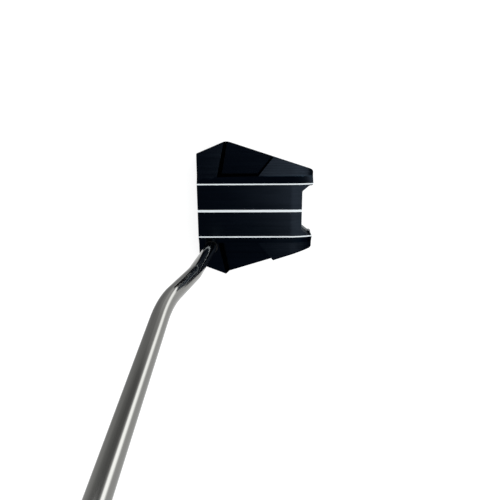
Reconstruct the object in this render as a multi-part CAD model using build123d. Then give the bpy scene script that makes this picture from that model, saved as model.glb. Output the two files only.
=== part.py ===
from build123d import *
import math
import os

# A right-handed mallet putter at address. x runs from toe to heel, y from the face to the back,
# z up from the ground. The origin is on the sole, below the middle of the face's top edge.

# ---- Head: driving dimensions (mm, degrees) ----
head_height = 27.0          # plateau above the ground, at the face
head_depth = 90.9           # face to wing tips
front_width = 88.6          # heel to toe along the face
max_width = 107.2           # heel to toe at the widest corners
max_width_y = 22.5          # distance of the widest corners behind the face
rear_width = 63.2           # heel to toe across the wing tips
face_loft = 3.0                # face leans back by this angle
top_slope = 3.0             # the top falls towards the back
roll_radius = 38.0          # the top rolls off over the rear edge
roll_length = 18.0          # roll-off starts this far in front of the wing tips
ball_diameter = 42.67       # outer edges of the two outer sight lines
bevel_width = 5.5           # bevel between plateau and wing pad, seen from above
wing_drop_front = 2.4       # wing pads below the plateau, at the face
wing_drop_rear = 4.2        # the same where the roll-off starts
wing_fall = 2.9             # wing pads fall outwards by this angle
corner_radius = 1.2         # front corners
widest_radius = 3.5         # widest corners
tip_radius = 2.6            # outer corners of the wing tips
inner_tip_radius = 1.5      # their inner corners, at the notch

# ---- Rear notch ----
tip_width = 12.0            # heel to toe across each wing tip
notch_depth = 8.7
notch_corner_x = 4.4        # sloping corners of the notch, heel to toe
notch_corner_y = 5.6        # the same, face to back
notch_radius = 2.0          # where a sloping corner meets the notch's floor line
notch_side_radius = 3.0     # where it meets the notch's side
frame_lip = 1.3             # the steel frame stands into the notch by this much

# ---- Wing pockets ----
pocket_floor = 10.5         # floor above the ground
pocket_front_y = 15.9       # front wall at the bevel's foot
pocket_front_angle = 11.3   # front wall runs back towards the outside
pocket_rear_y = 47.6        # rear wall at the bevel's foot
pocket_rear_angle = 39.8
pocket_draft = 9.0

# ---- Sight lines ----
centre_line_width = 1.85
side_line_width = 1.0
line_depth = 0.4

# ---- Lower frame, cover and core ----
split_height = 3.2          # joint between crown and steel frame
sole_chamfer = 0.8
window_inset = 0.7          # window's side beyond the plateau's edge
window_front = 16.0
window_radius = 3.0
core_roof = 2.8             # crown left above the core, at its thinnest
core_web = 4.0              # walls between the core's lightening pockets
core_top = 5.0              # core left above its lightening pockets
hollow_floor = 2.5          # crown left between a wing pocket and the hollow below it
hollow_width = 11.0
hollow_front = 24.0
hollow_screw_gap = 10.0     # hollow's rear edge in front of the rear frame screws
cover_ledge = 2.5
cover_thickness = 1.4
cover_recess = 0.2          # cover lies this much above the ground
tape_thickness = 0.2
core_clearance = 0.2
slip = 0.05                 # clearance round pieces that drop into place

# ---- Face insert ----
insert_side_gap = 3.3       # inside the face's ends
insert_bottom = 7.0
insert_top_gap = 4.8        # below the top edge
insert_thickness = 2.8
insert_radius = 6.0
groove_pitch = 1.3
groove_margin = 2.1         # outermost grooves inside the insert's edges
groove_depth = 0.25
groove_width = 0.5

# ---- Weights and screws ----
front_weight_radius = 6.35
front_weight_height = 8.0
front_weight_inset = 10.6   # inside the widest corner
front_weight_ahead = 2.5    # in front of the widest corner
rear_weight_radius = 8.0
rear_weight_height = 7.0
rear_weight_inset = 7.1     # inside the wing tip's outer corner
rear_weight_ahead = 14.4    # in front of the wing tip
weight_recess = 0.4
weight_chamfer = 0.4
hex_socket = 4.0            # across flats
hex_depth = 3.0
screw_radius = 1.5
screw_head_radius = 2.9
screw_length = 7.5
weight_screw_radius = 2.0
weight_screw_head_radius = 3.8
weight_screw_length = 10.5
drive_radius = 1.15
drive_depth = 1.2
front_screw_x = 12.5
front_screw_y = 9.0
middle_screw_behind = 13.5  # behind the widest corner
rear_screw_ahead = 30.9     # in front of the wing tips
rear_screw_out = 7.1        # outside the sole cover's edge

# ---- Shaft ----
lie = 70.0
shaft_diameter = 9.4
shaft_wall = 0.8
bore_out = 8.665            # bore's centre outside the plateau's edge
bore_wall = 1.5             # crown left between the bore and the insert's pocket
bore_floor = 1.6
bore_clearance = 0.2
spotface_rim = 0.75         # spotface beyond the bore's edge
spotface_depth = 1.8        # below the front pad where the shaft enters
lower_bend_height = 93.9
lower_bend_radius = 45.0
upper_bend_step = (1.3, -6.4, 48.0)  # from the lower bend to the upper one
upper_bend_radius = 76.0
plug_length = 12.0
club_length = 889.0         # along the shaft's axis, from the ground to the butt
steps_below_grip = 1.0
step_count = 12
step_pitch = 19.0
step_run = 1.0              # length of the cone at each step
butt_diameter = 14.8
butt_wall = 0.45

# ---- Grip ----
grip_length = 267.0
grip_skin = 1.5
grip_tape_thickness = 0.3
grip_cap_thickness = 3.0
grip_cap_radius = 1.2
vent_radius = 1.5
grip_flat = 0.72            # flat front, as a share of the grip's width
# distance from the lower end, width, height in front of the axis, height behind it
grip_sections = ((0.0, 20.5, 9.8, 10.8), (110.0, 22.5, 10.4, 12.6), (grip_length, 25.5, 11.2, 17.5))

# ---- Values worked out from the above ----
plateau_half = ball_diameter / 2
pad_foot = plateau_half + bevel_width
slope_tan = math.tan(math.radians(top_slope))
loft_tan = math.tan(math.radians(face_loft))
roll_start = head_depth - roll_length
notch_half = rear_width / 2 - tip_width
notch_y = head_depth - notch_depth
front_weight_x = max_width / 2 - front_weight_inset
rear_weight_x = rear_width / 2 - rear_weight_inset
rear_weight_y = head_depth - rear_weight_ahead
window_half = plateau_half + window_inset
window_rear = rear_weight_y - rear_weight_radius - cover_ledge
rear_screw_x = window_half + cover_ledge + rear_screw_out
rear_screw_y = head_depth - rear_screw_ahead
hollow_rear = rear_screw_y - hollow_screw_gap
core_ceiling = head_height - window_rear * slope_tan - core_roof
insert_half_width = front_width / 2 - insert_side_gap
insert_top = head_height - insert_top_gap
insert_pocket_depth = insert_thickness + tape_thickness
shaft_radius = shaft_diameter / 2
bore_radius = shaft_radius + bore_clearance
spotface_radius = bore_radius + spotface_rim
bore_x = plateau_half + bore_out
bore_y = insert_pocket_depth + bore_wall + bore_radius
spotface_floor = head_height - bore_y * slope_tan - wing_drop_front - spotface_depth
lower_bend = (bore_x, bore_y, lower_bend_height)
upper_bend = tuple(a + b for a, b in zip(lower_bend, upper_bend_step))
axis_up = Vector(math.cos(math.radians(lie)), 0, math.sin(math.radians(lie)))
axis_foot = Vector(*upper_bend) - axis_up * (upper_bend[2] / axis_up.Z)
grip_end = club_length - grip_cap_thickness
grip_start = grip_end - grip_length
parallel_end = grip_start - steps_below_grip - step_count * step_pitch  # end of the plain tip section
side = 200.0                # larger than the head, for cutting tools
above_head = head_height + 5.0
overcut = 1.0               # cutting tools pass a face by this much
ahead = 10.0                # the head's block starts this far in front of its face


def plateau_height(y):
    """Height of the plateau's plane above the ground at a distance behind the face."""
    return head_height - y * slope_tan


def along_axis(distance):
    """Point on the upper shaft's axis, measured from the ground."""
    return axis_foot + axis_up * distance


def both_sides(x, y):
    """The same place on the toe side and on the heel side."""
    return [(-x, y), (x, y)]


def near(shape, x, y):
    """The corner of a flat shape that is nearest to a place."""
    return shape.vertices().sort_by_distance((x, y, 0))[0]


def tall_prism(flat, low, high):
    return Pos(0, 0, low) * extrude(flat, high - low)


def disc_at(x, y, radius, low, high):
    return Pos(x, y, low) * Cylinder(radius, high - low, align=(Align.CENTER, Align.CENTER, Align.MIN))


def head_outline(lip):
    """Plan of the head, with its notch made smaller all round by lip."""
    flare = (max_width - front_width) / 2 / max_width_y
    notch_x = notch_half - lip
    turn = math.atan(notch_corner_x / notch_corner_y)
    side_end = (notch_x, notch_y + notch_corner_y + lip * math.tan(turn / 2))
    floor_end = (notch_half - notch_corner_x - lip * math.tan(math.pi / 4 - turn / 2), notch_y + lip)
    heel = [
        (front_width / 2 - ahead * flare, -ahead),
        (max_width / 2, max_width_y),
        (rear_width / 2, head_depth),
        (notch_x, head_depth),
        side_end,
        floor_end,
    ]
    toe = [(-x, y) for x, y in reversed(heel)]
    plan = Polygon(*heel, *toe, align=None)
    radii = [(max_width / 2, max_width_y, widest_radius), (rear_width / 2, head_depth, tip_radius)]
    radii += [(notch_x, head_depth, inner_tip_radius)]
    radii += [(*side_end, notch_side_radius - lip), (*floor_end, notch_radius - lip)]
    for x, y, radius in radii:
        plan = fillet([near(plan, x, y), near(plan, -x, y)], radius)
    return plan


def head_blank(low, high, lip):
    """Block of the head's plan with the face cut to its loft and the front corners rounded."""
    block = tall_prism(head_outline(lip), low, high)
    face_plane = Plane(origin=(0, 0, head_height), x_dir=(1, 0, 0), z_dir=(0, -1, loft_tan))
    block -= face_plane * Box(side, side, side, align=(Align.CENTER, Align.CENTER, Align.MIN))
    upright = [e for e in block.edges() if abs(e.tangent_at(0.5).Z) > 0.9]
    return fillet(sorted(upright, key=lambda e: e.center().Y)[:2], corner_radius)


def top_section(wing_drop, drop):
    """Section across the head, depths downwards, of all that lies under the top surface."""
    reach = max_width / 2 + overcut
    wing_end = wing_drop + (reach - pad_foot) * math.tan(math.radians(wing_fall))
    base = roll_radius - overcut
    heel = [(plateau_half, drop), (pad_foot, wing_drop + drop), (reach, wing_end + drop), (reach, base)]
    toe = [(-x, depth) for x, depth in reversed(heel)]
    return Polygon(*heel, *toe, align=None)


def top_form(drop):
    """All that lies under the crown's top surface, lowered by drop: plateau, bevels, wings and roll-off."""
    backwards = Vector(0, 1, -slope_tan).normalized()
    ahead_drop = wing_drop_front - (wing_drop_rear - wing_drop_front) * ahead / roll_start
    start = Plane(origin=(0, -ahead, plateau_height(-ahead)), x_dir=(1, 0, 0), z_dir=backwards)
    end = Plane(origin=(0, roll_start, plateau_height(roll_start)), x_dir=(1, 0, 0), z_dir=backwards)
    rear_section = end * top_section(wing_drop_rear, drop)
    straight = loft_between(start * top_section(ahead_drop, drop), rear_section)
    roll_axis = Axis(end.from_local_coords((0, roll_radius, 0)), (-1, 0, 0))
    return straight + revolve(rear_section, roll_axis, 90)


def line_box(x, width, rear):
    box = Box(width, rear + ahead, above_head, align=(Align.CENTER, Align.MIN, Align.MIN))
    return Pos(x, -ahead, 0) * box


def line_places():
    """Name, centre and width of each sight line."""
    side_x = plateau_half - side_line_width / 2
    return [
        ("sight_line_toe", -side_x, side_line_width),
        ("sight_line_centre", 0.0, centre_line_width),
        ("sight_line_heel", side_x, side_line_width),
    ]


def wing_pocket(sign):
    """Deep pocket in one wing, open at the outer wall, with drafted walls."""
    outside = max_width / 2 + overcut

    def corners(inset):
        inner = pad_foot + inset
        front = pocket_front_y + inset + (inner - pad_foot) * math.tan(math.radians(pocket_front_angle))
        run = outside - inner
        rear = pocket_rear_y - inset / math.cos(math.radians(pocket_rear_angle))
        rear += (inner - pad_foot) * math.tan(math.radians(pocket_rear_angle))
        return [
            (sign * inner, front),
            (sign * outside, front + run * math.tan(math.radians(pocket_front_angle))),
            (sign * outside, rear + run * math.tan(math.radians(pocket_rear_angle))),
            (sign * inner, rear),
        ]

    pad_here = plateau_height(pocket_rear_y) - wing_drop_rear
    draft = math.tan(math.radians(pocket_draft))
    floor = Pos(0, 0, pocket_floor) * Polygon(*corners((pad_here - pocket_floor) * draft), align=None)
    mouth = Pos(0, 0, above_head) * Polygon(*corners((pad_here - above_head) * draft), align=None)
    return loft_between(floor, mouth)


def loft_between(lower, upper):
    return loft([lower.face(), upper.face()], ruled=True)


def cover_plan(grow):
    """Plan of the window in the sole, made larger all round by grow."""
    width = 2 * (window_half + grow)
    length = window_rear - window_front + 2 * grow
    return Pos(0, (window_front + window_rear) / 2) * RectangleRounded(width, length, window_radius + grow)


def front_weight_places():
    return both_sides(front_weight_x, max_width_y - front_weight_ahead)


def rear_weight_places():
    return both_sides(rear_weight_x, rear_weight_y)


def frame_screw_places():
    middle = both_sides(front_weight_x, max_width_y + middle_screw_behind)
    return both_sides(front_screw_x, front_screw_y) + middle + both_sides(rear_screw_x, rear_screw_y)


def countersunk(x, y, radius, head_radius, low, length):
    """Countersunk screw standing head down, without its drive."""
    head = head_radius - radius
    cone = Cone(head_radius, radius, head, align=(Align.CENTER, Align.CENTER, Align.MIN))
    shank = Cylinder(radius, length, align=(Align.CENTER, Align.CENTER, Align.MIN))
    return Pos(x, y, low) * (cone + shank)


def screw_hole(x, y, radius, head_radius, low, length):
    """Hole for a countersunk screw: the seat matches the head, the rest is looser by slip."""
    seat = countersunk(x, y, radius, head_radius, low, length)
    shank = disc_at(x, y, radius + slip, low, low + length + slip)
    return seat + shank + disc_at(x, y, head_radius, -overcut, low)


def with_drive(screw, x, y, low):
    return screw - Pos(x, y, low) * extrude(RegularPolygon(drive_radius, 6), drive_depth)


def insert_plan(grow):
    """The face insert's shape, drawn in the face's plane."""
    low = insert_bottom - grow
    high = insert_top + grow
    flat = Pos(0, (low + high) / 2) * Rectangle(2 * (insert_half_width + grow), high - low)
    return fillet(flat.vertices().sort_by(Axis.Y)[:2], insert_radius)


def face_slab(flat, near_depth, far_depth):
    """A slab behind the face, between two depths, with a shape drawn in the face's plane."""
    into = Vector(0, 1, -loft_tan).normalized()
    across = Plane(origin=(0, -head_height * loft_tan, 0), x_dir=(1, 0, 0), z_dir=-into)
    return extrude(across.offset(-near_depth) * flat, far_depth - near_depth, dir=into)


def shaft_path(lower_end, upper_end):
    corners = [(bore_x, bore_y, lower_end), lower_bend, upper_bend, upper_end]
    return FilletPolyline(*corners, radius=[lower_bend_radius, upper_bend_radius])


def axis_plane(distance):
    """Plane across the upper shaft; its y points away from the grip's flat front, to the player."""
    return Plane(origin=along_axis(distance), x_dir=(0, -1, 0), z_dir=axis_up)


# ---- Head pieces ----
def make_crown():
    crown = head_blank(split_height, above_head, 0.0) & top_form(0.0)
    for sign in (-1, 1):
        crown -= wing_pocket(sign)
    crown -= tall_prism(cover_plan(0.0), 0, core_ceiling)
    for x, y in both_sides(window_half + core_web + hollow_width / 2, (hollow_front + hollow_rear) / 2):
        hollow = Pos(x, y) * RectangleRounded(hollow_width, hollow_rear - hollow_front, window_radius)
        crown -= tall_prism(hollow, 0, pocket_floor - hollow_floor)
    crown -= disc_at(bore_x, bore_y, bore_radius, 0, head_height)
    crown -= disc_at(bore_x, bore_y, spotface_radius, spotface_floor, head_height)
    crown -= face_slab(insert_plan(slip), -overcut, insert_pocket_depth)
    for x, y in front_weight_places():
        crown -= disc_at(x, y, front_weight_radius + slip, 0, weight_recess + front_weight_height + slip)
    for x, y in rear_weight_places():
        crown -= disc_at(x, y, rear_weight_radius + slip, 0, weight_recess + rear_weight_height + slip)
        crown -= disc_at(x, y, weight_screw_radius + slip, 0, weight_recess + weight_screw_length + slip)
    for x, y in frame_screw_places():
        crown -= screw_hole(x, y, screw_radius, screw_head_radius, weight_recess, screw_length)
    return crown


def make_sight_lines(crown):
    """Cuts a shallow groove for each line and returns the crown and the paint that fills the grooves."""
    lines = {}
    skin = top_form(0.0) - top_form(line_depth)
    for name, x, width in line_places():
        groove = skin & line_box(x, width, head_depth)
        paint = crown & groove
        crown -= groove
        lines[name] = paint
    return crown, lines


def make_face_insert():
    insert = face_slab(insert_plan(0.0), 0.0, insert_thickness)
    grooved = insert_top - insert_bottom - 2 * groove_margin
    gaps = round(grooved / groove_pitch)
    for row in range(gaps + 1):
        height = insert_bottom + groove_margin + row * grooved / gaps
        bar = Pos(0, height) * Rectangle(2 * insert_half_width - 2 * insert_radius, groove_width)
        insert -= face_slab(bar, -overcut, groove_depth)
    return insert


def make_insert_tape():
    return face_slab(insert_plan(0.0), insert_thickness, insert_pocket_depth)


def make_sole_frame():
    frame = head_blank(0.0, split_height, frame_lip)
    frame = chamfer(frame.faces().sort_by(Axis.Z)[0].edges(), sole_chamfer)
    above = split_height + overcut
    frame -= tall_prism(cover_plan(0.0), -overcut, above)
    frame -= tall_prism(cover_plan(cover_ledge), -overcut, cover_recess + cover_thickness + tape_thickness)
    frame -= disc_at(bore_x, bore_y, bore_radius, bore_floor, above)
    for x, y in front_weight_places():
        frame -= disc_at(x, y, front_weight_radius + slip, -overcut, above)
    for x, y in rear_weight_places():
        frame -= disc_at(x, y, rear_weight_radius + slip, -overcut, above)
    for x, y in frame_screw_places():
        frame -= screw_hole(x, y, screw_radius, screw_head_radius, weight_recess, screw_length)
    return frame


def make_frame_screws():
    screws = []
    for x, y in frame_screw_places():
        screw = countersunk(x, y, screw_radius, screw_head_radius, weight_recess, screw_length)
        screws.append(with_drive(screw, x, y, weight_recess))
    return Compound(children=[s.solid() for s in screws])


def make_sole_cover():
    return tall_prism(cover_plan(cover_ledge - slip), cover_recess, cover_recess + cover_thickness)


def make_cover_tape():
    low = cover_recess + cover_thickness
    return tall_prism(cover_plan(cover_ledge - slip) - cover_plan(0.0), low, low + tape_thickness)


def make_damping_core():
    low = cover_recess + cover_thickness + core_clearance
    core = tall_prism(cover_plan(-core_clearance), low, core_ceiling - core_clearance)
    cell_width = window_half - 1.5 * core_web
    cell_length = window_rear - window_front - 2 * core_web
    for x, y in both_sides((cell_width + core_web) / 2, (window_front + window_rear) / 2):
        cell = Pos(x, y) * RectangleRounded(cell_width, cell_length, window_radius)
        core -= tall_prism(cell, 0, core_ceiling - core_top)
    return core


def make_front_weight(place):
    x, y = place
    weight = disc_at(x, y, front_weight_radius, weight_recess, weight_recess + front_weight_height)
    weight = chamfer(weight.edges().sort_by(Axis.Z)[0], weight_chamfer)
    socket = extrude(RegularPolygon(hex_socket / 2, 6, major_radius=False), hex_depth)
    return weight - Pos(x, y, weight_recess) * socket


def make_rear_weight(place):
    x, y = place
    weight = disc_at(x, y, rear_weight_radius, weight_recess, weight_recess + rear_weight_height)
    weight = chamfer(weight.edges().sort_by(Axis.Z)[0], weight_chamfer)
    low = 2 * weight_recess
    seat = screw_hole(x, y, weight_screw_radius, weight_screw_head_radius, low, weight_screw_length)
    return weight - seat


def make_rear_weight_screws():
    screws = []
    low = 2 * weight_recess
    length = weight_screw_length - weight_recess
    for x, y in rear_weight_places():
        screw = countersunk(x, y, weight_screw_radius, weight_screw_head_radius, low, length)
        screws.append(with_drive(screw, x, y, low))
    return Compound(children=[s.solid() for s in screws])


# ---- Shaft pieces ----
def tube_along(lower_end, radius, upper_distance):
    path = shaft_path(lower_end, along_axis(upper_distance))
    profile = Plane(origin=(bore_x, bore_y, lower_end), z_dir=(0, 0, 1)) * Circle(radius)
    return sweep(profile, path=path)


def stepped_profile(shrink):
    """Half section of the stepped upper shaft as (radius, distance along the axis)."""
    rise = (butt_diameter - shaft_diameter) / 2 / step_count
    points = [(shaft_radius - shrink, parallel_end)]
    for step in range(step_count):
        foot = parallel_end + (step + 1) * step_pitch
        points.append((shaft_radius + step * rise - shrink, foot))
        points.append((shaft_radius + (step + 1) * rise - shrink, foot + step_run))
    points.append((butt_diameter / 2 - shrink, grip_end))
    return points


def stepped_solid(shrink):
    points = stepped_profile(shrink)
    outline = [(0, points[0][1])] + points + [(0, points[-1][1])]
    half = Plane(origin=axis_foot, x_dir=(0, 1, 0), z_dir=axis_up.cross(Vector(0, 1, 0)) * -1)
    flat = half * Polygon(*outline, align=None)
    return revolve(flat, Axis(axis_foot, axis_up), 360)


def make_shaft():
    outer = tube_along(bore_floor, shaft_radius, parallel_end) + stepped_solid(0.0)
    inner = tube_along(bore_floor - overcut, shaft_radius - shaft_wall, parallel_end)
    return outer - (inner + stepped_solid(butt_wall))


def make_shaft_adhesive():
    sleeve = disc_at(bore_x, bore_y, bore_radius, bore_floor, spotface_floor)
    return sleeve - disc_at(bore_x, bore_y, shaft_radius, 0, head_height)


def make_shaft_plug():
    return disc_at(bore_x, bore_y, shaft_radius - shaft_wall, bore_floor, bore_floor + plug_length)


# ---- Grip pieces ----
def grip_section(distance, width, front, back, inset):
    """Rounded section with a flat front."""
    half = width / 2 - inset
    flat_half = grip_flat * half
    flat_y = -(front - inset)
    side_y = flat_y + 0.4 * half
    back_y = back - inset
    curve_x = 0.75 * half
    curve_y = 0.6 * back_y
    with BuildSketch() as sketch:
        with BuildLine():
            Line((-flat_half, flat_y), (flat_half, flat_y))
            Bezier((flat_half, flat_y), (half, flat_y), (half, side_y), (half, 0))
            Bezier((half, 0), (half, curve_y), (curve_x, back_y), (0, back_y))
            Bezier((0, back_y), (-curve_x, back_y), (-half, curve_y), (-half, 0))
            Bezier((-half, 0), (-half, side_y), (-half, flat_y), (-flat_half, flat_y))
        make_face()
    return axis_plane(distance) * sketch.sketch


def grip_body(inset):
    sections = [grip_section(grip_start + s, w, f, b, inset).face() for s, w, f, b in grip_sections]
    return loft(sections)


def make_grip_core():
    bore = Circle(butt_diameter / 2 + grip_tape_thickness)
    core_bore = extrude(axis_plane(grip_start - overcut) * bore, grip_length + 2 * overcut)
    return grip_body(grip_skin) - core_bore


def make_grip_wrap():
    return grip_body(0.0) - grip_body(grip_skin)


def make_grip_tape():
    ring = Circle(butt_diameter / 2 + grip_tape_thickness) - Circle(butt_diameter / 2)
    return extrude(axis_plane(grip_start) * ring, grip_length)


def make_grip_cap():
    _, width, front, back = grip_sections[-1]
    base = grip_section(grip_end, width, front, back, 0.0)
    cap = extrude(base, grip_cap_thickness)
    top = cap.faces().sort_by(Axis(axis_foot, axis_up))[-1]
    cap = fillet(top.edges(), grip_cap_radius)
    vent = extrude(axis_plane(grip_end - overcut) * Circle(vent_radius), grip_cap_thickness + 2 * overcut)
    return cap - vent


def make_pieces():
    crown, lines = make_sight_lines(make_crown())
    pieces = {"crown": crown}
    pieces.update(lines)
    pieces["face_insert"] = make_face_insert()
    pieces["insert_tape"] = make_insert_tape()
    pieces["sole_frame"] = make_sole_frame()
    pieces["frame_screws"] = make_frame_screws()
    pieces["sole_cover"] = make_sole_cover()
    pieces["cover_tape"] = make_cover_tape()
    pieces["damping_core"] = make_damping_core()
    for end, front_place, rear_place in zip(("toe", "heel"), front_weight_places(), rear_weight_places()):
        pieces["front_weight_" + end] = make_front_weight(front_place)
        pieces["rear_weight_" + end] = make_rear_weight(rear_place)
    pieces["rear_weight_screws"] = make_rear_weight_screws()
    pieces["shaft"] = make_shaft()
    pieces["shaft_adhesive"] = make_shaft_adhesive()
    pieces["shaft_plug"] = make_shaft_plug()
    pieces["grip_core"] = make_grip_core()
    pieces["grip_wrap"] = make_grip_wrap()
    pieces["grip_tape"] = make_grip_tape()
    pieces["grip_cap"] = make_grip_cap()
    return pieces


os.makedirs("parts", exist_ok=True)
for node, shape in make_pieces().items():
    export_step(shape, "parts/" + node + ".step")
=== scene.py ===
import math

import bpy
from mathutils import Matrix, Vector


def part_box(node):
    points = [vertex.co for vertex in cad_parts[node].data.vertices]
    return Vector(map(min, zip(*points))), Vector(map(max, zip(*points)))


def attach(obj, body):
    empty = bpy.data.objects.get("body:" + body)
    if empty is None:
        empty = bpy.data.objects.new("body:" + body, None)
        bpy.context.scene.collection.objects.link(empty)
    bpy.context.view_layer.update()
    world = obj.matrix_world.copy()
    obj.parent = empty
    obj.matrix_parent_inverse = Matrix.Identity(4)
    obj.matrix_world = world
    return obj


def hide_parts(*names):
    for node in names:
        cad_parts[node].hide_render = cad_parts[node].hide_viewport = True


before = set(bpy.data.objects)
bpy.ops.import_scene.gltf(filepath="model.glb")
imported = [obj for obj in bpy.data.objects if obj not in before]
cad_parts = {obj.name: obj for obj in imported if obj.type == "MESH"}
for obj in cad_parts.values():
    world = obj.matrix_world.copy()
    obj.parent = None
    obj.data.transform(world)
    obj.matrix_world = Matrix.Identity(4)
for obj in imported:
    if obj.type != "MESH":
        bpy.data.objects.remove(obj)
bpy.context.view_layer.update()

# Mallet putter at address: x from toe to heel, y from the face to the back, z up. Metres.

# ---- Places and sizes ----
MM = 0.001
MERGE = 0.001 * MM  # vertices closer than this are one
UP = Vector((0, 0, 1))
LIE = math.radians(70)
AXIS = Vector((math.cos(LIE), 0, math.sin(LIE)))  # the upper shaft's direction
CROWN_LOW, CROWN_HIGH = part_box("crown")
PLUG_LOW, PLUG_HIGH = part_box("shaft_plug")
PLATEAU_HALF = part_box("sight_line_heel")[1].x
BEVEL_WIDTH = 5.5 * MM
BORE = Vector(((PLUG_LOW.x + PLUG_HIGH.x) / 2, (PLUG_LOW.y + PLUG_HIGH.y) / 2, 0))
BORE_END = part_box("shaft")[0].z
SHAFT_WALL = 0.8 * MM
SHAFT_RADIUS = (PLUG_HIGH.x - PLUG_LOW.x) / 2 + SHAFT_WALL
LOWER_BEND = BORE + UP * 93.9 * MM
UPPER_BEND = LOWER_BEND + Vector((1.3, -6.4, 48.0)) * MM
LOWER_RADIUS = 45 * MM
UPPER_RADIUS = 76 * MM
FOOT = UPPER_BEND - AXIS * (UPPER_BEND.z / AXIS.z)  # the upper shaft's axis meets the ground here
CLUB_LENGTH = 889 * MM  # along that axis, from the ground to the butt
CAP_THICKNESS = 3 * MM
GRIP_LENGTH = 267 * MM
GRIP_START = CLUB_LENGTH - CAP_THICKNESS - GRIP_LENGTH
BUTT_RADIUS = 7.4 * MM
STEP_COUNT = 12
STEP_PITCH = 19 * MM
STEP_RUN = 1 * MM
PLAIN_END = GRIP_START - 1 * MM - STEP_COUNT * STEP_PITCH  # the lowest step starts here

# How bright the reflector card is on each bearing in degrees, up to NEAR_END from the shaft's foot
# and past FAR_START.
NEAR_END = 0.14
FAR_START = 0.59
NEAR_LEVELS = (
    (-180, 0.7), (-130, 0.42), (-78, 0.38), (0, 0.9), (86, 1.05),
    (100, 1.15), (118, 3.4), (133, 3.4), (144, 0.95),
)
FAR_LEVELS = (
    (-180, 0.24), (-140, 0.4), (-115, 0.62), (0, 1.0), (84, 1.0),
    (97, 1.2), (114, 3.9), (131, 3.9), (143, 0.7), (158, 0.26),
)

# Distance up the grip, width, flat front ahead of the shaft's axis, back behind it.
GRIP_SECTIONS = ((0, 20.5, 9.8, 10.8), (110, 22.5, 10.4, 12.6), (267, 25.5, 11.2, 17.5))
GRIP_RINGS = 150
GRIP_COLUMNS = 96
GRIP_PLAIN = 14 * MM  # left without panels at either end


# ---- Working on a mesh ----
def only(piece):
    """Makes a piece the active object and the only one selected."""
    if bpy.context.object and bpy.context.object.mode != "OBJECT":
        bpy.ops.object.mode_set(mode="OBJECT")
    bpy.ops.object.select_all(action="DESELECT")
    piece.select_set(True)
    bpy.context.view_layer.objects.active = piece


def pick(piece, kind, test):
    """Selects the vertices, edges or faces that pass a test, and goes to edit mode."""
    only(piece)
    mesh = piece.data
    for part in (mesh.vertices, mesh.edges, mesh.polygons):
        part.foreach_set("select", [False] * len(part))
    chosen = {"VERT": mesh.vertices, "EDGE": mesh.edges, "FACE": mesh.polygons}[kind]
    for item in chosen:
        item.select = bool(test(item))
    bpy.ops.object.mode_set(mode="EDIT")
    bpy.ops.mesh.select_mode(type=kind)


def object_mode():
    bpy.ops.object.mode_set(mode="OBJECT")


def edit_all():
    """Goes to edit mode with the whole active mesh selected."""
    bpy.ops.object.mode_set(mode="EDIT")
    bpy.ops.mesh.select_all(action="SELECT")


def all_outward(piece):
    """Merges doubles and turns every face outwards."""
    only(piece)
    edit_all()
    bpy.ops.mesh.remove_doubles(threshold=MERGE)
    bpy.ops.mesh.normals_make_consistent(inside=False)
    object_mode()


def apply(piece, kind, **settings):
    """Adds a modifier, sets it up and applies it."""
    only(piece)
    modifier = piece.modifiers.new(kind.title(), kind)
    for key, value in settings.items():
        setattr(modifier, key, value)
    bpy.ops.object.modifier_apply(modifier=modifier.name)


def smooth(piece, degrees):
    """Shades a piece smooth but for edges sharper than an angle."""
    only(piece)
    bpy.ops.object.shade_smooth_by_angle(angle=math.radians(degrees))


def place(piece, name, matrix=None):
    """Names a new piece and puts its place into its mesh."""
    only(piece)
    piece.name = name
    piece.data.name = name
    bpy.ops.object.transform_apply(location=True, rotation=True, scale=True)
    if matrix is not None:
        piece.data.transform(matrix)
    return piece


def copy_of(node, name):
    """A merged copy of a CAD node, with its flat triangles joined into whole faces."""
    piece = bpy.data.objects.new(name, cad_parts[node].data.copy())
    bpy.context.scene.collection.objects.link(piece)
    piece.data.materials.clear()
    only(piece)
    bpy.ops.mesh.customdata_custom_splitnormals_clear()
    edit_all()
    bpy.ops.mesh.remove_doubles(threshold=MERGE)
    bpy.ops.mesh.dissolve_limited(angle_limit=math.radians(0.4), delimit={"NORMAL"})
    object_mode()
    return piece


def finish_piece(piece, slot, *nodes):
    """Puts a piece on the putter's one body and hides the CAD nodes that it stands for; its slot argument
    is not used.
    """
    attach(piece, "root")
    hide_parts(*nodes)


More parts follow.
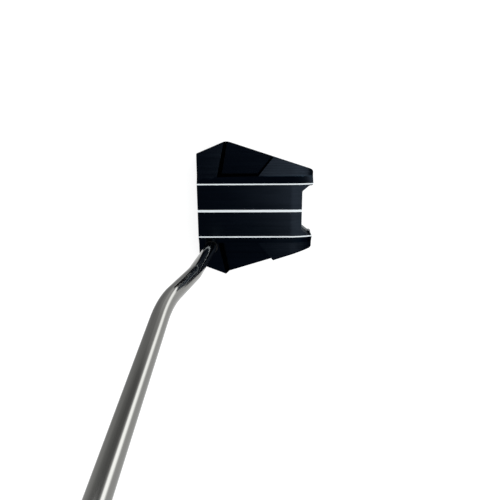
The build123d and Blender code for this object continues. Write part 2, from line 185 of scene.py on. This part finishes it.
# ---- Shader maths ----
class Value:
    """A socket in a material's node tree that takes part in Python arithmetic."""

    def __init__(self, tree, socket):
        self.tree = tree
        self.socket = socket

    def node(self, kind, settings=None, out=0, **sockets):
        return add_node(self.tree, kind, settings, out, **sockets)

    def maths(self, operation, *values, clamp=False):
        numbered = {f"in{i}": v for i, v in enumerate(values)}
        return self.node("ShaderNodeMath", {"operation": operation, "use_clamp": clamp}, **numbered)

    def __add__(self, other):
        return self.maths("ADD", self, other)

    def __sub__(self, other):
        return self.maths("SUBTRACT", self, other)

    def __rsub__(self, other):
        return self.maths("SUBTRACT", other, self)

    def __mul__(self, other):
        return self.maths("MULTIPLY", self, other)

    def __truediv__(self, other):
        return self.maths("DIVIDE", self, other)

    def __gt__(self, other):
        return self.maths("GREATER_THAN", self, other)

    def __lt__(self, other):
        return self.maths("LESS_THAN", self, other)

    def __abs__(self):
        return self.maths("ABSOLUTE", self)

    def clamped(self):
        return self.maths("ADD", self, 0.0, clamp=True)

    def power(self, exponent):
        return self.maths("POWER", self, exponent)

    def sine(self):
        return self.maths("SINE", self)

    def blend(self, low, high):
        """A number that goes from low to high as this value goes from 0 to 1."""
        return self * (high - low) + low

    def mix(self, first, second):
        """A colour that goes from first to second as this value goes from 0 to 1."""
        sockets = {"Factor": self, "in6": first, "in7": second}
        return self.node("ShaderNodeMix", {"data_type": "RGBA"}, out=2, **sockets)

    def times(self, vector):
        """This vector scaled along each axis."""
        return self.node("ShaderNodeVectorMath", {"operation": "MULTIPLY"}, in0=self, in1=vector)

    def split(self):
        return [self.node("ShaderNodeSeparateXYZ", out=i, Vector=self) for i in range(3)]

    __radd__ = __add__
    __rmul__ = __mul__


def add_node(tree, kind, settings=None, out=0, **sockets):
    """Adds a node, sets it up, links or fills its sockets and returns one of its outputs."""
    node = tree.nodes.new(kind)
    for key, value in (settings or {}).items():
        if key == "stops":
            set_stops(node.color_ramp, value)
        else:
            setattr(node, key, value)
    for key, value in sockets.items():
        numbered = key.startswith("in") and key[2:].isdigit()
        socket = node.inputs[int(key[2:])] if numbered else node.inputs[key.replace("_", " ")]
        if isinstance(value, Value):
            tree.links.new(value.socket, socket)
        else:
            socket.default_value = value
    return Value(tree, node.outputs[out])


def set_stops(ramp, stops):
    """Gives a colour ramp its greys."""
    while len(ramp.elements) < len(stops):
        ramp.elements.new(0.5)
    for element, (position, shade) in zip(ramp.elements, stops):
        element.position = position
        element.color = (shade, shade, shade, 1)


def new_material(name):
    """An empty material, with its node tree and output node."""
    material = bpy.data.materials.new(name)
    material.use_nodes = True
    tree = material.node_tree
    tree.nodes.clear()
    return material, tree, tree.nodes.new("ShaderNodeOutputMaterial")


class Finish:
    """A material built from one Principled shader and patterns in object coordinates."""

    def __init__(self, name, **constants):
        self.material, self.tree, output = new_material(name)
        self.shader = self.tree.nodes.new("ShaderNodeBsdfPrincipled")
        self.tree.links.new(self.shader.outputs[0], output.inputs[0])
        for key, value in constants.items():
            self.shader.inputs[key.replace("_", " ")].default_value = value
        self.place = self.add("ShaderNodeTexCoord", out=3)

    def add(self, kind, settings=None, out=0, **sockets):
        return add_node(self.tree, kind, settings, out, **sockets)

    def noise(self, stretch, detail=3.0):
        """Fine noise; stretch gives its frequency per metre along each axis."""
        sockets = {"Vector": self.place.times(stretch), "Scale": 1.0, "Detail": detail, "Roughness": 0.6}
        return self.add("ShaderNodeTexNoise", **sockets)

    def specks(self, scale, size):
        """Small separate spots, 1 in the middle of each."""
        cells = self.add("ShaderNodeTexVoronoi", Vector=self.place, Scale=scale)
        return (1 - cells / size).clamped()

    def edges(self, radius):
        """1 at a sharp edge and 0 on a flat, from the difference of two normals."""
        soft = self.add("ShaderNodeBevel", {"samples": 4}, Radius=radius)
        hard = self.add("ShaderNodeNewGeometry", out=1)
        dot = self.add("ShaderNodeVectorMath", {"operation": "DOT_PRODUCT"}, out=1, in0=soft, in1=hard)
        return ((1 - dot) * 6).clamped()

    def ramp(self, value, *stops):
        return self.add("ShaderNodeValToRGB", {"stops": stops}, Fac=value)

    def set(self, **links):
        for key, value in links.items():
            self.tree.links.new(value.socket, self.shader.inputs[key.replace("_", " ")])

    def bump(self, height, distance):
        normal = self.add("ShaderNodeBump", Height=height, Distance=distance, Strength=1.0)
        self.set(Normal=normal)


# ---- Finishes ----
def rgb(red, green, blue):
    return (red, green, blue, 1.0)


def grey(level):
    return rgb(level, level, level)


def crown_finish():
    """Black anodised aluminium: fine milling from face to back, deeper passes on the rear of the wings."""
    coat = Finish("crown_anodised", Metallic=1.0, Specular_Tint=rgb(0.1, 0.12, 0.15))
    x, y, z = coat.place.split()
    grain = coat.noise((2300.0, 22.0, 900.0), detail=4.0)
    broad = coat.noise((420.0, 9.0, 200.0), detail=2.0)
    cloud = coat.noise((38.0, 38.0, 38.0), detail=2.0)
    tool_pass = 1.9 * MM
    passes = (x * (2 * math.pi / tool_pass)).sine()
    corner_line = PLATEAU_HALF + BEVEL_WIDTH
    rear_wing = (abs(x) > corner_line) * (y > 46 * MM)
    lines = grain * 0.5 + broad * 0.35 + cloud * 0.15
    shade = (lines - 0.5) * 1.8 + 0.5 + rear_wing * passes * 0.2
    base = shade.clamped().mix(rgb(0.0052, 0.0067, 0.009), rgb(0.0165, 0.0205, 0.0262))
    # Painted highlight: a thin lighter line along the pad/bevel junction on the toe side, towards the rear.
    painted_edge_highlight = (1 - abs(abs(x) - corner_line) / (0.35 * MM)).clamped() * (y > 52 * MM) * (x < 0.0)
    # Lighter sharp edges: partly edge wear, partly a painted edge highlight.
    edge_wear_and_sheen = coat.edges(0.25 * MM) * coat.noise((300.0, 120.0, 300.0)).blend(0.2, 1.0)
    nicks = coat.specks(170.0, 0.05) * (coat.noise((60.0, 60.0, 60.0)) > 0.6)
    # The pale blue mixed in here is a painted edge highlight on the sharp edges, with some edge wear, and
    # on that line.
    base = (edge_wear_and_sheen * 0.4 + painted_edge_highlight * 0.8).clamped().mix(base, rgb(0.026, 0.04, 0.052))
    base = (nicks * 0.8).clamped().mix(base, rgb(0.2, 0.22, 0.24))
    coat.set(Base_Color=base, Roughness=shade.clamped().blend(0.2, 0.27))
    coat.bump(grain * 0.6 + broad * 0.4 + rear_wing * passes * 0.5, 0.004 * MM)
    return coat.material


def sight_paint():
    """White enamel laid into the grooves, a little uneven and faintly soiled."""
    coat = Finish("sight_paint", Specular_IOR_Level=0.5)
    flow = coat.noise((900.0, 60.0, 900.0))
    soil = coat.noise((2400.0, 300.0, 2400.0), detail=5.0)
    base = coat.ramp(soil, (0.3, 0.0), (0.75, 1.0)).mix(rgb(0.8, 0.86, 0.88), rgb(0.92, 0.96, 0.97))
    coat.set(Base_Color=base, Roughness=flow.blend(0.3, 0.45))
    coat.bump(flow, 0.02 * MM)
    return coat.material


def brushed(name, dark, light, rough, stretch, metal=1.0, scratch=0.006):
    """Satin metal with a grain along the axis whose frequency is low."""
    coat = Finish(name, Metallic=metal)
    grain = coat.noise(stretch, detail=4.0)
    cloud = coat.noise((45.0, 45.0, 45.0))
    shade = (grain * 0.7 + cloud * 0.3).clamped()
    # Lighter edges: partly edge wear, partly a painted edge highlight.
    edge_wear_and_sheen = coat.edges(0.2 * MM)
    base = shade.mix(dark, light)
    base = (edge_wear_and_sheen * 0.35).clamped().mix(base, rgb(*[min(1.0, 1.5 * c + 0.04) for c in light[:3]]))
    coat.set(Base_Color=base, Roughness=shade.blend(*rough))
    coat.bump(grain, scratch * MM)
    return coat.material


def turned(name, centres, dark, light, rough):
    """Lathe-turned metal: rings round the nearest of the given centres."""
    coat = Finish(name, Metallic=1.0)
    x, y, z = coat.place.split()
    ring = None
    for centre in centres:
        dx = x - centre.x
        dy = y - centre.y
        radius = (dx * dx + dy * dy).power(0.5)
        ring = radius if ring is None else ring.maths("MINIMUM", ring, radius)
    feed = 0.35 * MM
    rings = (ring * (2 * math.pi / feed)).sine()
    cloud = coat.noise((300.0, 300.0, 300.0))
    shade = (rings * 0.18 + cloud * 0.6 + 0.2).clamped()
    # Lighter edges: partly edge wear, partly a painted edge highlight.
    edge_wear_and_sheen = coat.edges(0.2 * MM)
    base = (edge_wear_and_sheen * 0.4).clamped().mix(shade.mix(dark, light), grey(0.72))
    coat.set(Base_Color=base, Roughness=shade.blend(*rough))
    coat.bump(rings * 0.5 + cloud * 0.3, 0.01 * MM)
    return coat.material


def shaft_chrome():
    """Polished plate over a ground tube: faint rings round the tube, hazy spots and hairline scratches."""
    coat = Finish("shaft_chrome", Metallic=1.0)
    rings = coat.noise((160.0, 160.0, 2600.0), detail=2.0)
    haze = coat.noise((60.0, 60.0, 22.0), detail=4.0)
    hair = coat.noise((1500.0, 1500.0, 45.0), detail=1.0)
    scratch = coat.ramp(hair, (0.70, 0.0), (0.78, 1.0))
    base = haze.mix(rgb(0.215, 0.216, 0.205), rgb(0.25, 0.25, 0.24))
    coat.set(Base_Color=base, Roughness=(haze * 0.08 + scratch * 0.05 + 0.07).clamped())
    coat.bump(rings, 0.0002 * MM)
    return coat.material


def moulded(name, dark, light, rough, grain, depth, **constants):
    """Moulded rubber, plastic, epoxy or foam with a pebbled skin."""
    coat = Finish(name, **constants)
    pebble = coat.add("ShaderNodeTexVoronoi", Vector=coat.place, Scale=grain)
    cloud = coat.noise((80.0, 80.0, 80.0), detail=4.0)
    shade = (cloud * 0.7 + pebble * 0.4).clamped()
    # Lighter edges: partly edge wear, partly a painted edge highlight.
    edge_wear_and_sheen = coat.edges(0.4 * MM)
    base = (edge_wear_and_sheen * 0.3).clamped().mix(shade.mix(dark, light), rgb(*[1.6 * c + 0.01 for c in light[:3]]))
    coat.set(Base_Color=base, Roughness=shade.blend(*rough))
    coat.bump(pebble * 0.6 + cloud * 0.4, depth * MM)
    return coat.material


def woven_tape():
    """Paper tape: crossed threads under a translucent gum."""
    coat = Finish("tape")
    x, y, z = coat.place.split()
    warp = ((x + y) * 9000.0).sine()
    weft = ((x - y + z) * 9000.0).sine()
    weave = (warp * weft * 0.25 + 0.5).clamped()
    cloud = coat.noise((120.0, 120.0, 120.0))
    base = (weave * 0.5 + cloud * 0.5).clamped().mix(rgb(0.55, 0.52, 0.44), rgb(0.8, 0.78, 0.71))
    coat.set(Base_Color=base, Roughness=cloud.blend(0.6, 0.85))
    coat.bump(weave, 0.02 * MM)
    return coat.material


def cork_plug():
    """Pressed cork: dark grains in a warm ground."""
    coat = Finish("plug_cork")
    grains = coat.add("ShaderNodeTexVoronoi", Vector=coat.place, Scale=900.0, out=1)
    tint = coat.add("ShaderNodeSeparateColor", Color=grains)
    base = tint.mix(rgb(0.16, 0.09, 0.04), rgb(0.45, 0.31, 0.18))
    coat.set(Base_Color=base, Roughness=tint.blend(0.7, 0.9))
    coat.bump(tint, 0.05 * MM)
    return coat.material


# ---- Camera, light and floor ----
def add_camera():
    """Looks down on the head from above its face, as a player who holds the club leans over it."""
    data = bpy.data.cameras.new("camera")
    data.lens = 28.8
    data.sensor_width = 36
    data.clip_start = 0.01
    camera = bpy.data.objects.new("camera", data)
    bpy.context.scene.collection.objects.link(camera)
    right = Vector((0.0044, 0.9983, -0.0585))
    down = Vector((0.9703, 0.0099, 0.2419))
    forward = right.cross(down).normalized()
    down = forward.cross(right).normalized()
    right = right.normalized()
    turn = Matrix((right, -down, -forward)).transposed()
    camera.matrix_world = Matrix.Translation(Vector((-46.55, 59.83, 337.61)) * MM) @ turn.to_4x4()
    bpy.context.scene.camera = camera


def add_softbox(name, spot, target, width, height, power, colour=(1, 1, 1)):
    """A rectangular lamp that the camera doesn't see."""
    data = bpy.data.lights.new(name, "AREA")
    data.shape = "RECTANGLE"
    data.size = width
    data.size_y = height
    data.energy = power
    data.color = colour
    lamp = bpy.data.objects.new(name, data)
    lamp.location = spot
    lamp.rotation_euler = (Vector(target) - Vector(spot)).to_track_quat("-Z", "Y").to_euler()
    lamp.visible_camera = False
    bpy.context.scene.collection.objects.link(lamp)


def seen_by_eye_or_gloss(tree):
    """1 for rays from the camera, a mirror or glass."""
    path = tree.nodes.new("ShaderNodeLightPath")
    rays = [Value(tree, path.outputs[n]) for n in ("Is Camera Ray", "Is Glossy Ray", "Is Transmission Ray")]
    return (rays[0] + rays[1] + rays[2]).clamped()


def floor_material():
    """Pale floor: white to the eye and to mirrors, but it keeps shadows; from below it is clear."""
    glow_level = 0.78
    material, tree, output = new_material("studio_floor")
    lit = tree.nodes.new("ShaderNodeBsdfDiffuse")
    lit.inputs["Color"].default_value = grey(0.4)
    glow = tree.nodes.new("ShaderNodeEmission")
    tree.links.new((seen_by_eye_or_gloss(tree) * glow_level).socket, glow.inputs["Strength"])
    both = tree.nodes.new("ShaderNodeAddShader")
    tree.links.new(lit.outputs[0], both.inputs[0])
    tree.links.new(glow.outputs[0], both.inputs[1])
    clear = tree.nodes.new("ShaderNodeBsdfTransparent")
    side = tree.nodes.new("ShaderNodeNewGeometry")
    choose = tree.nodes.new("ShaderNodeMixShader")
    tree.links.new(side.outputs["Backfacing"], choose.inputs[0])
    tree.links.new(both.outputs[0], choose.inputs[1])
    tree.links.new(clear.outputs[0], choose.inputs[2])
    tree.links.new(choose.outputs[0], output.inputs[0])
    return material


def add_plane(name, size, spot):
    bpy.ops.object.select_all(action="DESELECT")
    bpy.ops.mesh.primitive_plane_add(size=size, location=spot)
    return place(bpy.context.object, name)


def add_floor():
    floor = add_plane("studio_floor", 30.0, (0, 0, -0.3 * MM))
    floor.data.materials.append(floor_material())


def make_card(card, strength=1.0):
    """Lets a plane glow for mirroring surfaces only, and returns its tree and the socket of its colour."""
    material, tree, output = new_material(card.name)
    shine = tree.nodes.new("ShaderNodeEmission")
    shine.inputs["Strength"].default_value = strength
    tree.links.new(shine.outputs[0], output.inputs[0])
    card.data.materials.append(material)
    card.visible_camera = False
    card.visible_diffuse = False
    card.visible_shadow = False
    card.visible_transmission = False
    return tree, shine.inputs["Color"]


def reflector_pattern(tree):
    """A bright wedge behind the toe, a dark field beside it, and plain grey under the head."""
    x, y, z = add_node(tree, "ShaderNodeTexCoord", out=3).split()
    east = x + 10 * MM
    turn = east.maths("ARCTAN2", y, east) / (2 * math.pi) + 0.5
    near = add_node(tree, "ShaderNodeValToRGB", {"stops": bearing_stops(NEAR_LEVELS)}, Fac=turn)
    far = add_node(tree, "ShaderNodeValToRGB", {"stops": bearing_stops(FAR_LEVELS)}, Fac=turn)
    distance = (east * east + y * y).power(0.5)
    reach = ((distance - NEAR_END) / (FAR_START - NEAR_END)).clamped()
    under_head = (x > CROWN_LOW.x) * (x < CROWN_HIGH.x) * (y > CROWN_LOW.y) * (y < CROWN_HIGH.y)
    return under_head.mix(reach.mix(near, far), grey(0.8))


def bearing_stops(levels):
    """Ramp stops from bearings in degrees."""
    return [(bearing / 360 + 0.5, level) for bearing, level in levels]


def add_cards():
    """A reflector on the floor for the shaft's stripes, and a small high window for the glints."""
    tree, colour = make_card(add_plane("reflector_card", 20.0, (0, 0, -0.2 * MM)))
    tree.links.new(reflector_pattern(tree).socket, colour)
    window = add_plane("window_card", 0.5, (0, 0, 0))
    bearing = math.radians(127)
    height = math.radians(40)
    side = math.cos(height)
    look = Vector((side * math.cos(bearing), side * math.sin(bearing), math.sin(height)))
    turn = look.to_track_quat("Z", "Y").to_matrix().to_4x4()
    window.data.transform(Matrix.Translation(look * 1.6) @ turn)
    tree, colour = make_card(window, 14.0)
    colour.default_value = rgb(0.8, 0.92, 1.0)


def set_world():
    """Mirrors see white low down and a dim blue overhead; the eye sees white all round."""
    world = bpy.data.worlds.new("studio")
    bpy.context.scene.world = world
    world.use_nodes = True
    tree = world.node_tree
    tree.nodes.clear()
    direction = add_node(tree, "ShaderNodeTexCoord", out=0)
    wall = (1 - direction.split()[2] * 9.0).clamped()
    path = tree.nodes.new("ShaderNodeLightPath")
    gloss = Value(tree, path.outputs["Is Glossy Ray"])
    eye = Value(tree, path.outputs["Is Camera Ray"]) + Value(tree, path.outputs["Is Transmission Ray"])
    ceiling = wall.mix(rgb(0.045, 0.095, 0.18), grey(1))
    level = gloss.mix(grey(0.5), ceiling)
    level = eye.clamped().mix(level, grey(1))
    background = tree.nodes.new("ShaderNodeBackground")
    tree.links.new(level.socket, background.inputs["Color"])
    output = tree.nodes.new("ShaderNodeOutputWorld")
    tree.links.new(background.outputs[0], output.inputs[0])


def set_stage():
    """Camera, white surroundings, the key light high behind the head and a weak fill from its heel side."""
    add_camera()
    set_world()
    add_floor()
    add_softbox("key_softbox", (-0.19, 0.73, 1.03), (-0.02, 0.04, 0), 1.2, 1.3, 9.0, (0.93, 0.97, 1.0))
    add_softbox("fill_softbox", (1.1, -0.9, 0.6), (0, 0.04, 0.2), 0.9, 0.9, 3.0)
    add_cards()
    bpy.context.scene.view_settings.view_transform = "Standard"


# ---- Pieces ----
def make_crown(finish):
    """The milled crown with its sharp edges broken, less along the paint grooves."""
    crown = copy_of("crown", "crown_body")

    def by_groove(*ends):
        return max(abs(end.x) for end in ends) < PLATEAU_HALF + 0.1 * MM

    faces_at = {}
    for face in crown.data.polygons:
        for key in face.edge_keys:
            faces_at.setdefault(key, []).append(face.normal)
    weights = crown.data.attributes.new("bevel_weight_edge", "FLOAT", "EDGE")
    values = []
    for edge in crown.data.edges:
        normals = faces_at.get(edge.key, [])
        sharp = len(normals) == 2 and normals[0].angle(normals[1], 0.0) > math.radians(24)
        first, second = (crown.data.vertices[v].co for v in edge.vertices)
        high_up = max(first.z, second.z) > 8 * MM
        long_enough = (first - second).length > 0.02 * MM
        broken = sharp and high_up and long_enough
        values.append((0.3 if by_groove(first, second) else 1.0) if broken else 0.0)
    weights.data.foreach_set("value", values)
    apply(crown, "BEVEL", width=0.3 * MM, segments=2, limit_method="WEIGHT", harden_normals=False)
    smooth(crown, 28)
    apply(crown, "WEIGHTED_NORMAL", mode="FACE_AREA", weight=50, keep_sharp=True)
    crown.data.materials.append(finish)
    finish_piece(crown, "crown_anodised", "crown")


def bend(before, corner, after, radius):
    """The arc that rounds a corner of the shaft's line: its start, centre, axis, angle and end."""
    arriving = (corner - before).normalized()
    leaving = (after - corner).normalized()
    angle = arriving.angle(leaving)
    axis = arriving.cross(leaving).normalized()
    reach = radius * math.tan(angle / 2)
    start = corner - arriving * reach
    return start, start + axis.cross(arriving) * radius, axis, angle, corner + leaving * reach


def make_shaft(finish):
    """A ring drawn up the bore, spun round two bends and drawn on through twelve steps to the butt."""
    low = BORE + UP * BORE_END
    far = FOOT + AXIS * (CLUB_LENGTH - CAP_THICKNESS)
    bpy.ops.object.select_all(action="DESELECT")
    bpy.ops.mesh.primitive_circle_add(vertices=96, radius=SHAFT_RADIUS, location=low)
    shaft = place(bpy.context.object, "shaft_tube")
    edit_all()
    here = low
    corners = ((low, LOWER_BEND, UPPER_BEND, LOWER_RADIUS), (LOWER_BEND, UPPER_BEND, far, UPPER_RADIUS))
    for before, corner, after, radius in corners:
        start, centre, axis, angle, end = bend(before, corner, after, radius)
        draw_on(start - here)
        bpy.ops.mesh.spin(steps=40, angle=-angle, center=centre, axis=axis)
        here = end
    rise = (BUTT_RADIUS - SHAFT_RADIUS) / STEP_COUNT
    radius = SHAFT_RADIUS
    margin = 0.4 * MM
    for step in range(STEP_COUNT):
        foot = PLAIN_END + (step + 1) * STEP_PITCH
        top = foot + STEP_RUN
        for distance, wider in ((foot - margin, 0), (foot, 0), (top, rise), (top + margin, 0)):
            there = FOOT + AXIS * distance
            draw_on(there - here)
            if wider:
                size = (radius + wider) / radius
                bpy.ops.transform.resize(value=(size,) * 3, center_override=there)
                radius += wider
            here = there
    draw_on(far - here)
    object_mode()
    all_outward(shaft)
    apply(shaft, "SOLIDIFY", thickness=SHAFT_WALL, offset=-1.0)
    smooth(shaft, 35)
    shaft.data.materials.append(finish)
    finish_piece(shaft, "shaft_chrome", "shaft")


def make_adhesive(finish):
    """The glue sleeve in the bore with the bead that stands round the shaft in the spotface."""
    low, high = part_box("shaft_adhesive")
    outer = (high.x - low.x) / 2
    bead = outer + 0.55 * MM
    rim = high.z
    bpy.ops.object.select_all(action="DESELECT")
    bpy.ops.mesh.primitive_circle_add(vertices=96, radius=SHAFT_RADIUS, location=BORE + UP * low.z)
    sleeve = place(bpy.context.object, "glue_sleeve")
    edit_all()
    here = (SHAFT_RADIUS, low.z)
    profile = [(outer, low.z), (outer, rim), (bead, rim), (outer + 0.2 * MM, rim + 0.18 * MM)]
    profile += [(SHAFT_RADIUS + 0.06 * MM, rim + 0.45 * MM), (SHAFT_RADIUS, rim + 0.75 * MM)]
    profile += [(SHAFT_RADIUS, low.z)]
    for radius, height in profile:
        draw_on(UP * (height - here[1]))
        size = radius / here[0]
        bpy.ops.transform.resize(value=(size, size, 1), center_override=BORE + UP * height)
        here = (radius, height)
    object_mode()
    all_outward(sleeve)
    smooth(sleeve, 40)
    sleeve.data.materials.append(finish)
    finish_piece(sleeve, "adhesive", "shaft_adhesive")


def draw_on(offset):
    """Extrudes the selected ring and moves the new ring."""
    bpy.ops.mesh.extrude_region_move(TRANSFORM_OT_translate={"value": tuple(offset)})


def grip_size(distance):
    """Half width, front and back of the grip at a distance up it, from a curve through its sections."""
    spots = [section[0] * MM for section in GRIP_SECTIONS]
    shares = []
    for i, spot in enumerate(spots):
        first, second = (other for k, other in enumerate(spots) if k != i)
        shares.append((distance - first) * (distance - second) / ((spot - first) * (spot - second)))
    sizes = []
    for column in (1, 2, 3):
        sizes.append(sum(section[column] * MM * share for section, share in zip(GRIP_SECTIONS, shares)))
    width, front, back = sizes
    return width / 2, front, back


def grip_frame():
    """Turns the grip's own axes into the club's: its z up the shaft and its y to the player."""
    across = Vector((0, -1, 0))
    turn = Matrix((across, AXIS.cross(across), AXIS)).transposed().to_4x4()
    return Matrix.Translation(FOOT + AXIS * GRIP_START) @ turn


def shape_ring(piece, half, front, back):
    """Gives a round ring the grip's section: rounded back, flat front."""
    squareness = 0.62
    for v in piece.data.vertices:
        angle = math.atan2(v.co.y, v.co.x)
        if v.co.y >= 0:
            v.co.x = half * math.cos(angle)
            v.co.y = back * math.sin(angle)
        else:
            power = 2 / (2 + 2.2 * squareness)
            v.co.x = half * math.copysign(abs(math.cos(angle)) ** power, v.co.x)
            v.co.y = -front * abs(math.sin(angle)) ** (power * squareness)


def make_grip(finish):
    """A ring drawn up in short lengths, with some of its faces set in as a pattern of panels."""
    bpy.ops.object.select_all(action="DESELECT")
    bpy.ops.mesh.primitive_circle_add(vertices=GRIP_COLUMNS, radius=1.0)
    grip = place(bpy.context.object, "grip_skin")
    half, front, back = grip_size(0.0)
    shape_ring(grip, half, front, back)
    edit_all()
    step = GRIP_LENGTH / GRIP_RINGS
    for ring in range(GRIP_RINGS):
        draw_on(UP * step)
    object_mode()
    for v in grip.data.vertices:
        wide, ahead, behind = grip_size(v.co.z)
        v.co.x *= wide / half
        v.co.y *= ahead / front if v.co.y < 0 else behind / back
    all_outward(grip)
    emboss_grip(grip, step)
    apply(grip, "SOLIDIFY", thickness=1.2 * MM, offset=-1.0)
    smooth(grip, 40)
    grip.data.transform(grip_frame())
    grip.data.materials.append(finish)
    finish_piece(grip, "grip_skin", "grip_wrap")


def emboss_grip(grip, step):
    """Sets in a staggered pattern of small panels round the back and sides."""

    def panel(face):
        half, front, back = grip_size(face.center.z)
        row = int(face.center.z / step)
        angle = math.atan2(face.center.y / back, face.center.x / half)
        column = int(angle * GRIP_COLUMNS / (2 * math.pi) // 1)
        inside = GRIP_PLAIN < face.center.z < GRIP_LENGTH - GRIP_PLAIN
        on_back = 1 <= column <= GRIP_COLUMNS / 2 - 2
        return inside and on_back and row % 2 == 0 and (row // 2 + column // 2) % 2 == 0

    pick(grip, "FACE", panel)
    bpy.ops.mesh.inset(thickness=0.12 * MM, depth=-0.35 * MM, use_individual=True)
    object_mode()


def make_cap(finish):
    """The grip's moulded end with its vent."""
    cap = copy_of("grip_cap", "grip_end_cap")
    smooth(cap, 35)
    cap.data.materials.append(finish)
    finish_piece(cap, "cap_plastic", "grip_cap")


def dress(node, finish):
    """Gives a CAD node its material."""
    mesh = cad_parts[node].data
    mesh.materials.clear()
    mesh.materials.append(finish)


def centre_of(node):
    low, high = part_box(node)
    return (low + high) / 2


def black_metal(name, dark, light, grain, metal=1.0):
    """Black anodised aluminium with a fine brushed grain."""
    return brushed(name, dark, light, (0.3, 0.5), grain, metal)


def dress_nodes():
    """Gives a finish to every CAD node that no new piece stands for."""
    weights = ("front_weight_toe", "front_weight_heel", "rear_weight_toe", "rear_weight_heel")
    centres = [centre_of(node) for node in weights]
    lathe = turned("weight_steel", centres, grey(0.3), rgb(0.5, 0.5, 0.49), (0.18, 0.34))
    screw = brushed("screw_steel", grey(0.2), grey(0.42), (0.2, 0.4), (900.0, 900.0, 900.0))
    light = rgb(0.42, 0.415, 0.4)
    steel = brushed("frame_steel", rgb(0.24, 0.24, 0.23), light, (0.3, 0.5), (1800.0, 40.0, 1800.0))
    dark = rgb(0.006, 0.007, 0.009)
    insert = black_metal("insert_anodised", dark, rgb(0.03, 0.032, 0.036), (30.0, 900.0, 2600.0))
    dark = rgb(0.008, 0.009, 0.011)
    cover = black_metal("cover_anodised", dark, rgb(0.035, 0.036, 0.04), (40.0, 2200.0, 600.0), metal=0.6)
    core = moulded("core_rubber", rgb(0.03, 0.03, 0.035), rgb(0.08, 0.08, 0.09), (0.6, 0.8), 1500.0, 0.05)
    foam = moulded("grip_foam", grey(0.03), grey(0.07), (0.8, 0.95), 2500.0, 0.1)
    worn_by = (
        (lathe, weights),
        (sight_paint(), ("sight_line_toe", "sight_line_centre", "sight_line_heel")),
        (woven_tape(), ("insert_tape", "cover_tape", "grip_tape")),
        (screw, ("frame_screws", "rear_weight_screws")),
        (insert, ("face_insert",)),
        (steel, ("sole_frame",)),
        (cover, ("sole_cover",)),
        (core, ("damping_core",)),
        (cork_plug(), ("shaft_plug",)),
        (foam, ("grip_core",)),
    )
    for finish, nodes in worn_by:
        for node in nodes:
            dress(node, finish)


def build_pieces():
    """Makes the pieces that stand for CAD nodes: crown, shaft, glue, grip skin and cap."""
    glue = moulded("adhesive", rgb(0.01, 0.01, 0.011), grey(0.03), (0.08, 0.2), 700.0, 0.01, IOR=1.7)
    light = rgb(0.026, 0.026, 0.028)
    skin = moulded("grip_skin", rgb(0.008, 0.008, 0.009), light, (0.5, 0.75), 2200.0, 0.03)
    plastic = moulded("cap_plastic", grey(0.008), grey(0.022), (0.4, 0.6), 2600.0, 0.02)
    make_crown(crown_finish())
    make_shaft(shaft_chrome())
    make_adhesive(glue)
    make_grip(skin)
    make_cap(plastic)


set_stage()
dress_nodes()
build_pieces()
